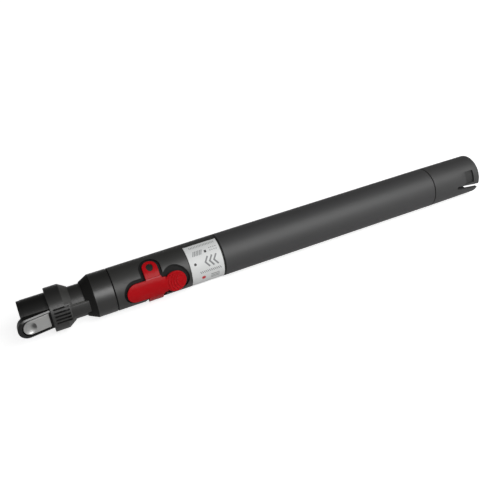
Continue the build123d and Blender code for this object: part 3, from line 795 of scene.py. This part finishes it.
@dataclass
class LabelPrint:
    """Plain print on the label: ticks, hatching, dots, chevrons and bars that say nothing.

    The marks are laid out flat, with X along the wand and Y round it, and bent onto the film. Each arm of a
    chevron is a strip that is turned, and shifted by a share of its height.
    """

    radius: float
    start: float
    length: float
    lift_mm: float = 0.02
    motifs: tuple[Motif, ...] = LABEL_MOTIFS
    disc_sides: int = 32
    strip_points: tuple[int, int] = (4, 10)
    arm_turn_deg: float = 35.0
    arm_shift: float = 0.34

    def piece(self) -> bpy.types.Object:
        """Makes the print as one plain mesh.

        Returns:
            The print, not yet riding on a body.
        """
        piece = bpy.data.objects.new("label_print", bpy.data.meshes.new("label_print"))
        bpy.context.scene.collection.objects.link(piece)
        values = {"Radius": self.radius + self.lift_mm * MM, "Start": self.start, "Length": self.length}
        attach(piece, self._make(), values)
        settle(piece)
        return piece

    def _make(self) -> bpy.types.NodeTree:
        """Builds the tree that lays out the marks and bends them.

        Returns:
            A geometry node tree with its sizes as named inputs.
        """
        tree = geometry_tree("label_print", {"Radius": "Float", "Start": "Float", "Length": "Float"})
        graph = Graph(tree)
        given = graph.add("NodeGroupInput").outputs
        join = graph.add("GeometryNodeJoinGeometry")
        for motif in self.motifs:
            coat = graph.add("GeometryNodeSetMaterial")
            ink = INK_FINISHES[motif.ink].material()
            graph.feed(coat, Geometry=self._row(graph, motif, given["Length"]), Material=ink)
            graph.feed(join, Geometry=coat.outputs[0])
        real = graph.feed(graph.add("GeometryNodeRealizeInstances"), Geometry=join.outputs[0])
        flat = graph.add("ShaderNodeSeparateXYZ")
        graph.feed(flat, Vector=graph.add("GeometryNodeInputPosition").outputs[0])
        turn = graph.math("DIVIDE", flat.outputs["Y"], given["Radius"])
        bent = graph.add("ShaderNodeCombineXYZ")
        graph.feed(
            bent,
            X=graph.math("ADD", flat.outputs["X"], given["Start"]),
            Y=graph.math("MULTIPLY", given["Radius"], graph.math("COSINE", turn)),
            Z=graph.math("MULTIPLY", given["Radius"], graph.math("SINE", turn)),
        )
        bend = graph.add("GeometryNodeSetPosition")
        graph.feed(bend, Geometry=real.outputs[0], Position=bent.outputs[0])
        graph.feed(graph.add("NodeGroupOutput"), Geometry=bend.outputs[0])
        return tree

    def _row(self, graph: Graph, motif: Motif, length: bpy.types.NodeSocket) -> bpy.types.NodeSocket:
        """Lays out one motif.

        Args:
            graph: The tree's graph.
            motif: The marks to lay out.
            length: The length of the label.

        Returns:
            The marks, flat.
        """
        first = graph.add("ShaderNodeCombineXYZ")
        graph.feed(first, X=graph.math("MULTIPLY", length, motif.share), Y=motif.level_mm * MM)
        row = graph.add("GeometryNodeMeshLine")
        step = (motif.step_mm * MM, motif.rise_mm * MM, 0.0)
        graph.feed(row, Count=motif.count, Start_Location=first.outputs[0], Offset=step)
        spread = graph.add("GeometryNodeInstanceOnPoints")
        graph.feed(spread, Points=row.outputs[0], Instance=self._mark(graph, motif))
        return spread.outputs[0]

    def _mark(self, graph: Graph, motif: Motif) -> bpy.types.NodeSocket:
        """Makes one mark of a motif.

        Args:
            graph: The tree's graph.
            motif: The motif whose mark it is.

        Returns:
            The mark, flat and fine enough to bend.
        """
        if motif.shape is Shape.DISC:
            disc = graph.add("GeometryNodeMeshCircle", fill_type="TRIANGLE_FAN")
            graph.feed(disc, Vertices=self.disc_sides, Radius=motif.width_mm / 2.0 * MM)
            return disc.outputs[0]
        if motif.shape is Shape.STROKE:
            return self._strip(graph, motif, motif.turn_deg)
        chevron = graph.add("GeometryNodeJoinGeometry")
        for side in (1.0, -1.0):
            arm = graph.add("GeometryNodeTransform")
            shift = (0.0, side * motif.height_mm * self.arm_shift * MM, 0.0)
            strip = self._strip(graph, motif, side * self.arm_turn_deg)
            graph.feed(arm, Geometry=strip, Translation=shift)
            graph.feed(chevron, Geometry=arm.outputs[0])
        return chevron.outputs[0]

    def _strip(self, graph: Graph, motif: Motif, turn_deg: float) -> bpy.types.NodeSocket:
        """Adds a flat strip of a motif's width and height.

        Args:
            graph: The tree's graph.
            motif: The motif whose strip it is.
            turn_deg: How far it is turned in its own plane.

        Returns:
            The strip.
        """
        strip = graph.add("GeometryNodeMeshGrid")
        graph.feed(strip, Size_X=motif.width_mm * MM, Size_Y=motif.height_mm * MM)
        graph.feed(strip, Vertices_X=self.strip_points[0], Vertices_Y=self.strip_points[1])
        turned = graph.add("GeometryNodeTransform")
        graph.feed(turned, Geometry=strip.outputs[0], Rotation=(0.0, 0.0, radians(turn_deg)))
        return turned.outputs[0]


@dataclass(frozen=True)
class LeafSpring:
    """A steel leaf in place of the CAD leaf, copied from it with its own finish and smooth shading.
    """

    node: str
    joint: str
    keep: float

    def piece(self, body: str) -> bpy.types.Object:
        """Makes the leaf.

        Args:
            body: The body that the leaf's feet stand on.

        Returns:
            The leaf, riding on that body.
        """
        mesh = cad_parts[self.node].data.copy()
        mesh.materials.clear()
        mesh.materials.append(SPRING_STEEL.material())
        leaf = bpy.data.objects.new(f"{self.node}_leaf", mesh)
        bpy.context.scene.collection.objects.link(leaf)
        MOULDED.apply(leaf)
        settle(leaf)
        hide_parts(self.node)
        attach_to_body(leaf, body)
        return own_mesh(leaf)


@dataclass
class Barrel(SubAssembly):
    """The outer tube with its collar, catch housing, label and nose cap."""

    body: str = "barrel"
    dresses: dict[str, Dress] = field(
        default_factory=lambda: {
            "outer_tube": Dress(TUBE_GREY, TURNED),
            "socket_collar": Dress(COLLAR_GREY, TURNED_COLLAR),
            "catch_housing": Dress(HOUSING_GREY, TURNED),
            "label": Dress(LABEL_FILM, TURNED),
            "pivot_pins": Dress(PIN_DARK),
            "nose_cap": Dress(NOSE_BLACK, TURNED, (NOSE_CONE,)),
            "front_bush": Dress(BUSH_ACETAL, TURNED),
            "wiper_seal": Dress(SEAL_RUBBER, TURNED),
        }
    )
    pad_spring: LeafSpring = LeafSpring("lever_spring", "lever_rock", keep=0.33)

    def build(self) -> list[bpy.types.Object]:
        """Builds the print on the label and the spring under the lever's thumb pad.

        Returns:
            Both pieces, riding on the barrel.
        """
        low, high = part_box("label")
        film_r = max(v.co.yz.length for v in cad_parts["label"].data.vertices)
        label_print = LabelPrint(film_r, low.x, high.x - low.x).piece()
        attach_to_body(label_print, self.body)
        return [label_print, self.pad_spring.piece(self.body)]


@dataclass
class CatchLever(SubAssembly):
    """The red rocker that locks the inner tube."""

    body: str = "lever"
    dresses: dict[str, Dress] = field(
        default_factory=lambda: {"catch_lever": Dress(LEVER_RED, MOULDED_ROUND, (TAB_CREASE,))}
    )


@dataclass
class Slider(SubAssembly):
    """The inner tube with its rail, rear guide, tool cuff and nozzle."""

    body: str = "slider"
    dresses: dict[str, Dress] = field(
        default_factory=lambda: {
            "inner_tube": Dress(INNER_TUBE_BLACK, TURNED),
            "end_ring": Dress(BUSH_ACETAL, TURNED),
            "slide_seal": Dress(SEAL_FELT, TURNED),
            "rear_bush": Dress(BUSH_ACETAL, TURNED),
            "lock_rail": Dress(RAIL_BLACK, MOULDED, (RAIL_SIDE,)),
            "tool_cuff": Dress(CUFF_BLACK, TURNED_CUFF, (CUFF_SLOPE,)),
            "nozzle": Dress(NOZZLE_BLACK, MOULDED_NOZZLE, (CRADLE_BEVEL,)),
            "button_pin": Dress(SPRING_STEEL),
        }
    )
    plate_spring: LeafSpring = LeafSpring("button_spring", "button_press", keep=0.5)

    def build(self) -> list[bpy.types.Object]:
        """Builds the spring under the release button, and returns it riding on the slider."""
        return [self.plate_spring.piece(self.body)]


@dataclass
class ReleaseButton(SubAssembly):
    """The silver plate that frees the tool."""

    body: str = "button"
    dresses: dict[str, Dress] = field(
        default_factory=lambda: {"release_button": Dress(BUTTON_SILVER, MOULDED_ROUND)}
    )


def stand(place: Vector, right: Vector, up: Vector, back: Vector) -> Matrix:
    """Puts three axes and a place together.

    Args:
        place: Where the thing stands.
        right: Its own X axis.
        up: Its own Y axis.
        back: Its own Z axis.

    Returns:
        The thing's matrix.
    """
    return Matrix.Translation(place) @ Matrix((right, up, back)).transposed().to_4x4()


@dataclass(frozen=True)
class SoftBox:
    """A long soft area light that hangs between two ends and faces the wand.

    Glossy surfaces show the light only where it is mirrored.
    """

    name: str
    power: float
    near: Triple
    far: Triple
    length: float
    depth: float
    mirrored: bool = True
    aim: Triple = (0.2, 0.0, 0.0)

    def hang(self) -> None:
        """Makes the light, half-way between its ends and turned to its aim."""
        light = bpy.data.lights.new(self.name, "AREA")
        light.shape = "RECTANGLE"
        light.size, light.size_y = self.length, self.depth
        light.energy = self.power
        lamp = bpy.data.objects.new(self.name, light)
        bpy.context.scene.collection.objects.link(lamp)
        lamp.visible_glossy = self.mirrored
        near, far = Vector(self.near), Vector(self.far)
        place = (near + far) / 2.0
        right = (near - far).normalized()
        back = place - Vector(self.aim)
        back = (back - right * back.dot(right)).normalized()
        lamp.matrix_world = stand(place, right, back.cross(right), back)


@dataclass
class Studio:
    """The pale floor, the soft light and the camera.

    The key lights the lever's side and the fill the far side. The world is brightest at the horizon, and
    darker overhead behind the wand than in front of it.
    """

    floor_z: float
    floor_half: float = 12.0
    floor_albedo: float = 0.6
    floor_white_near: float = 0.74
    floor_white_far: float = 0.97
    floor_mirror: float = 0.1
    shadow_middle: Pair = (0.2, 0.0)
    shadow_reach: Pair = (0.3, 0.8)
    horizon: float = 0.36
    horizon_rise: Pair = (0.0, 0.35)
    ceiling: float = 0.26
    ceiling_behind: float = 0.09
    ceiling_turn: Pair = (-0.5, 0.5)
    key: SoftBox = SoftBox(
        "soft_box", power=15.5, near=(0.33, 1.14, 0.37), far=(-0.86, 0.66, 1.08), length=1.6, depth=0.85
    )
    fill: SoftBox = SoftBox(
        "fill_box",
        power=9.0,
        near=(-0.4, -1.2, 0.2),
        far=(0.9, -1.2, 0.2),
        length=1.3,
        depth=0.3,
        mirrored=False,
    )
    camera_place: Triple = (0.496673, 0.547581, 0.316155)
    camera_right: Triple = (-0.900712, 0.418066, -0.118062)
    camera_up: Triple = (-0.298191, -0.39736, 0.867863)
    camera_back: Triple = (0.315911, 0.8169, 0.482571)
    camera_near: float = 0.01
    lens_mm: float = 46.013
    sensor_mm: float = 36.0
    shift: Pair = (-0.001, 0.001)

    def build(self) -> None:
        """Sets the view transform and makes the floor, the light and the camera."""
        bpy.context.scene.view_settings.view_transform = "Standard"
        self._floor()
        self._world()
        self.key.hang()
        self.fill.hang()
        self._camera()

    def _floor(self) -> None:
        """Lays a flat pale floor that looks white and keeps a soft shadow."""
        half = self.floor_half
        square = ((-half, -half), (half, -half), (half, half), (-half, half))
        mesh = bpy.data.meshes.new("floor")
        mesh.from_pydata([(x, y, self.floor_z) for x, y in square], [], [(0, 1, 2, 3)])
        floor = bpy.data.objects.new("floor", mesh)
        bpy.context.scene.collection.objects.link(floor)
        mesh.materials.append(self._floor_material())
        floor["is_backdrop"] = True

    def _floor_material(self) -> bpy.types.Material:
        """Makes the floor's material.

        Returns:
            A pale diffuse surface that is raised to plain white where it is looked at, less so near the
            wand, where its shadow falls, and less where it is mirrored.
        """
        material = blank_material("studio_floor")
        graph = Graph(material.node_tree)
        matt = graph.add("ShaderNodeBsdfDiffuse")
        graph.feed(matt, Color=(self.floor_albedo, self.floor_albedo, self.floor_albedo, 1.0))
        path = graph.add("ShaderNodeLightPath").outputs
        mirrored = graph.math("MAXIMUM", path["Is Glossy Ray"], path["Is Transmission Ray"])
        mirror_share = graph.math("MULTIPLY", mirrored, self.floor_mirror)
        place = graph.add("ShaderNodeTexCoord").outputs["Object"]
        off = graph.measure("DISTANCE", place, (*self.shadow_middle, self.floor_z))
        whiteness = graph.ramp(off, self.shadow_reach, self.floor_white_near, self.floor_white_far)
        view_share = graph.math("MULTIPLY", path["Is Camera Ray"], whiteness)
        white = graph.add("ShaderNodeEmission")
        graph.feed(white, Strength=graph.math("MAXIMUM", view_share, mirror_share))
        both = graph.add("ShaderNodeAddShader")
        graph.feed(both, Shader=matt.outputs[0], Shader_001=white.outputs[0])
        graph.feed(graph.add("ShaderNodeOutputMaterial"), Surface=both.outputs[0])
        return material

    def _world(self) -> None:
        """Makes a soft surrounding, white to look at, that gives most light from the horizon."""
        world = bpy.data.worlds.new("studio")
        bpy.context.scene.world = world
        world.use_nodes = True
        world.node_tree.nodes.clear()
        graph = Graph(world.node_tree)
        way = graph.add("ShaderNodeSeparateXYZ")
        graph.feed(way, Vector=graph.add("ShaderNodeTexCoord").outputs["Generated"])
        overhead = graph.ramp(way.outputs["Y"], self.ceiling_turn, self.ceiling_behind, self.ceiling)
        level = graph.ramp(way.outputs["Z"], self.horizon_rise, self.horizon, overhead)
        looked_at = graph.add("ShaderNodeLightPath").outputs["Is Camera Ray"]
        sky = graph.add("ShaderNodeBackground")
        graph.feed(sky, Color=(1.0, 1.0, 1.0, 1.0), Strength=graph.math("MAXIMUM", level, looked_at))
        graph.feed(graph.add("ShaderNodeOutputWorld"), Surface=sky.outputs[0])

    def _camera(self) -> None:
        """Sets the camera where the photograph was taken from."""
        data = bpy.data.cameras.new("camera")
        data.lens = self.lens_mm
        data.sensor_width = self.sensor_mm
        data.clip_start = self.camera_near
        data.shift_x, data.shift_y = self.shift
        camera = bpy.data.objects.new("camera", data)
        bpy.context.scene.collection.objects.link(camera)
        axes = (Vector(self.camera_right), Vector(self.camera_up), Vector(self.camera_back))
        camera.matrix_world = stand(Vector(self.camera_place), *axes)
        bpy.context.scene.camera = camera


def main() -> None:
    """Dresses each sub-assembly and builds its own pieces, then builds the studio with its floor at the
    lowest point of the CAD pieces.
    """
    logging.basicConfig(level=logging.INFO, format="%(name)s: %(message)s")
    cad_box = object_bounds()
    for part in (Barrel(), CatchLever(), Slider(), ReleaseButton()):
        part.dress()
        for piece in part.build():
            log.info("%s: built on %s", piece.name, part.body)
    Studio(floor_z=cad_box[0].z).build()


if __name__ == "__main__":
    main()
